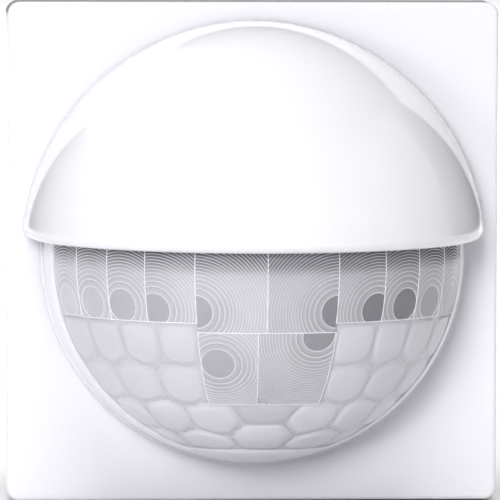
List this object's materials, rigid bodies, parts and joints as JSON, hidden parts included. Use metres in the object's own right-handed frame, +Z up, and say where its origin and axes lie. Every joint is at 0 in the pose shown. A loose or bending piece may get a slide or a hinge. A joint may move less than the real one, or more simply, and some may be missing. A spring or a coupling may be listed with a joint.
{
  "type": "motion sensor",
  "caption": "Flush wall motion sensor: square white plate, half-dome hood over a multi-facet lens dome, and a relay insert that clamps in a round wall box.",
  "frame": {"origin": "middle of the wall box on the wall's surface, in the plane of the support ring's back face", "axes": "+Z up, +X to the right for a person facing the unit, +Y into the wall; the dome points along -Y"},
  "size_m": [0.0704, 0.0731, 0.0716],
  "materials": {
    "plate_white": "glossy",
    "hood_white": "high gloss",
    "lens": "translucent satin",
    "base_white": "satin",
    "housing_white": "satin",
    "grey_plastic": "fine matt",
    "black_plastic": "satin",
    "blue_plastic": "satin",
    "dial_orange": "satin",
    "button_orange": "satin",
    "capacitor_yellow": "satin",
    "capacitor_sleeve": "glossy",
    "fuse_brown": "satin",
    "board_green": "solder mask",
    "terminal_white": "satin",
    "zinc_steel": "zinc plated",
    "brass": "bright",
    "dark_window": "polished",
    "led_red": "polished"
  },
  "bodies": {
    "insert": {"support_ring": "zinc_steel", "insert_body": "grey_plastic", "insert_cover": "grey_plastic", "socket": "black_plastic", "power_board": "board_green", "relay": "black_plastic", "supply_capacitor": "capacitor_yellow", "smoothing_capacitor": "capacitor_sleeve", "varistor": "blue_plastic", "fuse": "fuse_brown", "terminal_block": "terminal_white", "terminal_clamp_1": "brass", "terminal_clamp_2": "brass", "terminal_clamp_3": "brass", "insert_screw_lower": "zinc_steel", "insert_screw_upper": "zinc_steel"},
    "head": {"cover_plate": "plate_white", "head_base": "base_white", "retaining_ring": "grey_plastic", "fresnel_lens": "lens", "control_housing": "housing_white", "control_board": "board_green", "lux_potentiometer": "blue_plastic", "range_potentiometer": "blue_plastic", "time_potentiometer": "blue_plastic", "mode_switch": "black_plastic", "sensor_board": "board_green", "board_screw_1": "zinc_steel", "board_screw_2": "zinc_steel", "board_screw_3": "zinc_steel", "board_screw_4": "zinc_steel", "sensor_bracket": "grey_plastic", "pyro_can_left": "zinc_steel", "pyro_can_right": "zinc_steel", "pyro_window_left": "dark_window", "pyro_window_right": "dark_window", "light_sensor": "dark_window", "status_led": "led_red", "signal_chip": "black_plastic", "board_link": "black_plastic", "plug": "black_plastic"},
    "hood": {"hood": "hood_white"},
    "lux_dial": {"lux_dial": "dial_orange"},
    "range_dial": {"range_dial": "dial_orange"},
    "time_dial": {"time_dial": "dial_orange"},
    "mode_knob": {"mode_knob": "black_plastic"},
    "claw_screw_left": {"claw_screw_left": "zinc_steel"},
    "claw_screw_right": {"claw_screw_right": "zinc_steel"},
    "claw_left": {"claw_left": "zinc_steel"},
    "claw_right": {"claw_right": "zinc_steel"},
    "release_button_1": {"release_button_1": "button_orange"},
    "release_button_2": {"release_button_2": "button_orange"},
    "release_button_3": {"release_button_3": "button_orange"}
  },
  "joints": [
    {"name": "head_pull_off", "type": "slide", "parent": "insert", "child": "head", "axis": [0, -1, 0], "range_m": [0, 0.025]},
    {"name": "hood_lift_off", "type": "slide", "parent": "head", "child": "hood", "axis": [0, -1, 0], "range_m": [0, 0.04]},
    {"name": "lux_dial_turn", "type": "hinge", "parent": "head", "child": "lux_dial", "pos_m": [-0.011, -0.02774, 0.01308], "axis": [0, -0.7071, 0.7071], "range_deg": [-135, 135]},
    {"name": "range_dial_turn", "type": "hinge", "parent": "head", "child": "range_dial", "pos_m": [0, -0.02774, 0.01308], "axis": [0, -0.7071, 0.7071], "range_deg": [-135, 135]},
    {"name": "time_dial_turn", "type": "hinge", "parent": "head", "child": "time_dial", "pos_m": [0.011, -0.02774, 0.01308], "axis": [0, -0.7071, 0.7071], "range_deg": [-135, 135]},
    {"name": "mode_knob_slide", "type": "slide", "parent": "head", "child": "mode_knob", "axis": [1, 0, 0], "range_m": [-0.0025, 0.0025]},
    {"name": "claw_screw_left_turn", "type": "hinge", "parent": "insert", "child": "claw_screw_left", "pos_m": [-0.021, 0, 0], "axis": [0, 1, 0], "range_deg": [0, 2160]},
    {"name": "claw_left_swing", "type": "hinge", "parent": "insert", "child": "claw_left", "pos_m": [-0.0233, 0.0034, 0], "axis": [0, 0, 1], "range_deg": [0, 22]},
    {"name": "claw_screw_right_turn", "type": "hinge", "parent": "insert", "child": "claw_screw_right", "pos_m": [0.021, 0, 0], "axis": [0, 1, 0], "range_deg": [0, 2160]},
    {"name": "claw_right_swing", "type": "hinge", "parent": "insert", "child": "claw_right", "pos_m": [0.0233, 0.0034, 0], "axis": [0, 0, -1], "range_deg": [0, 22]},
    {"name": "release_button_1_press", "type": "slide", "parent": "insert", "child": "release_button_1", "axis": [0, -1, 0], "range_m": [0, 0.0016], "stiffness_N_per_m": 150},
    {"name": "release_button_2_press", "type": "slide", "parent": "insert", "child": "release_button_2", "axis": [0, -1, 0], "range_m": [0, 0.0016], "stiffness_N_per_m": 150},
    {"name": "release_button_3_press", "type": "slide", "parent": "insert", "child": "release_button_3", "axis": [0, -1, 0], "range_m": [0, 0.0016], "stiffness_N_per_m": 150}
  ],
  "couplings": [
    {"joint": "claw_left_swing", "follows": "claw_screw_left_turn", "ratio": 0.010185},
    {"joint": "claw_right_swing", "follows": "claw_screw_right_turn", "ratio": 0.010185}
  ]
}
